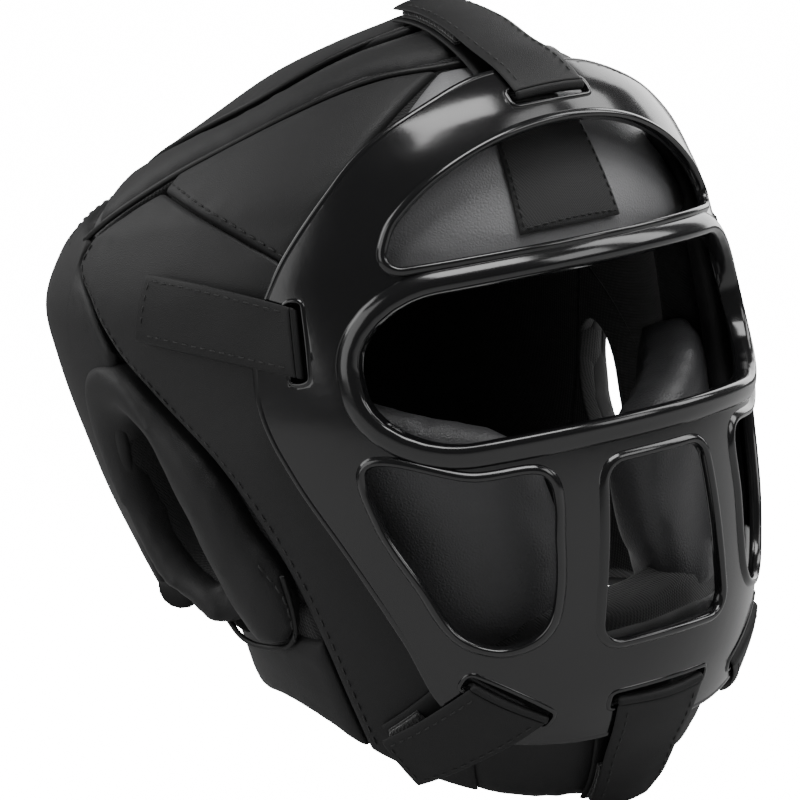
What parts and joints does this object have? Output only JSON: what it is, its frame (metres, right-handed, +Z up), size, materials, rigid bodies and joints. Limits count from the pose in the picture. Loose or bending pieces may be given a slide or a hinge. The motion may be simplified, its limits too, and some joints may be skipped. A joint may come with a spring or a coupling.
{
  "type": "boxing headgear with face cage",
  "caption": "Padded head guard for sparring with a moulded face cage held by hook-and-loop straps, ear rings, cheek pads, a chin cup and a rear closure.",
  "frame": {"origin": "on the centre plane, in line with the ears, at the height of the chin rim (lowest level of the padding)", "axes": "+Z up as worn, -Y the way the face looks, +X towards the wearer's left"},
  "size_m": [0.2402, 0.2864, 0.2966],
  "materials": {
    "cage_plastic": "gloss",
    "hook_tape": "hooked tape",
    "loop_tape": "looped pile",
    "strap_leather": "matte fine grain",
    "foam": "closed-cell foam",
    "lining": "smooth woven lining",
    "woven_patch": "woven label",
    "grained_leather": "coarse grain, slight sheen",
    "cover_leather": "matte fine grain"
  },
  "bodies": {
    "padded_shell": {"cheek_pad_left": "grained_leather", "cheek_pad_right": "grained_leather", "chin_cup": "cover_leather", "chin_foam": "foam", "chin_strap_base": "strap_leather", "chin_strap_loop_tape": "loop_tape", "crown_band_left": "cover_leather", "crown_band_right": "cover_leather", "crown_centre_panel": "cover_leather", "crown_foam": "foam", "crown_lining": "lining", "ear_roll_left": "cover_leather", "ear_roll_right": "cover_leather", "forehead_foam": "foam", "forehead_lining": "lining", "forehead_panel": "grained_leather", "forehead_patch": "woven_patch", "jaw_panel_left": "cover_leather", "jaw_panel_right": "cover_leather", "jaw_strap_base_left": "strap_leather", "jaw_strap_base_right": "strap_leather", "jaw_strap_loop_tape_left": "loop_tape", "jaw_strap_loop_tape_right": "loop_tape", "rear_foam_left": "foam", "rear_foam_right": "foam", "rear_lining_left": "lining", "rear_lining_right": "lining", "rear_loop_tape": "loop_tape", "rear_panel_left": "cover_leather", "rear_panel_right": "cover_leather", "side_foam_left": "foam", "side_foam_right": "foam", "side_lining_left": "lining", "side_lining_right": "lining", "side_panel_left": "cover_leather", "side_panel_right": "cover_leather", "temple_strap_base_left": "strap_leather", "temple_strap_base_right": "strap_leather", "temple_strap_loop_tape_left": "loop_tape", "temple_strap_loop_tape_right": "loop_tape", "top_strap_base": "strap_leather", "top_strap_loop_tape": "loop_tape", "upper_side_panel_left": "cover_leather", "upper_side_panel_right": "cover_leather"},
    "cage": {"face_cage": "cage_plastic"},
    "top_strap_end": {"top_strap_tail": "strap_leather", "top_strap_hook_tape": "hook_tape"},
    "temple_strap_end_left": {"temple_strap_tail_left": "strap_leather", "temple_strap_hook_tape_left": "hook_tape"},
    "temple_strap_end_right": {"temple_strap_tail_right": "strap_leather", "temple_strap_hook_tape_right": "hook_tape"},
    "jaw_strap_end_left": {"jaw_strap_tail_left": "strap_leather", "jaw_strap_hook_tape_left": "hook_tape"},
    "jaw_strap_end_right": {"jaw_strap_tail_right": "strap_leather", "jaw_strap_hook_tape_right": "hook_tape"},
    "chin_strap_end": {"chin_strap_tail": "strap_leather", "chin_strap_hook_tape": "hook_tape"},
    "rear_closure": {"rear_flap": "strap_leather", "rear_hook_tape": "hook_tape"}
  },
  "joints": [
    {"name": "cage_lift_off", "type": "slide", "parent": "padded_shell", "child": "cage", "axis": [0, -1, 0], "range_m": [0, 0.18]},
    {"name": "top_strap_peel", "type": "hinge", "parent": "cage", "child": "top_strap_end", "pos_m": [0, -0.13171, 0.25414], "axis": [1, 0, 0], "range_deg": [0, 90]},
    {"name": "temple_strap_peel_left", "type": "hinge", "parent": "cage", "child": "temple_strap_end_left", "pos_m": [0.09355, -0.09059, 0.18514], "axis": [0.0716, 0.0504, -0.9962], "range_deg": [0, 110]},
    {"name": "temple_strap_peel_right", "type": "hinge", "parent": "cage", "child": "temple_strap_end_right", "pos_m": [-0.09355, -0.09059, 0.18514], "axis": [0.0716, -0.0504, 0.9962], "range_deg": [0, 110]},
    {"name": "jaw_strap_peel_left", "type": "hinge", "parent": "cage", "child": "jaw_strap_end_left", "pos_m": [0.05263, -0.11717, 0.05051], "axis": [-0.7503, -0.3117, -0.583], "range_deg": [0, 90]},
    {"name": "jaw_strap_peel_right", "type": "hinge", "parent": "cage", "child": "jaw_strap_end_right", "pos_m": [-0.05263, -0.11717, 0.05051], "axis": [-0.7503, 0.3117, 0.583], "range_deg": [0, 90]},
    {"name": "chin_strap_peel", "type": "hinge", "parent": "cage", "child": "chin_strap_end", "pos_m": [0, -0.13318, 0.04315], "axis": [-1, 0, 0], "range_deg": [0, 60]},
    {"name": "rear_closure_peel", "type": "hinge", "parent": "padded_shell", "child": "rear_closure", "pos_m": [0.06023, 0.10414, 0.17481], "axis": [-0.1937, -0.3363, -0.9216], "range_deg": [0, 90]}
  ]
}
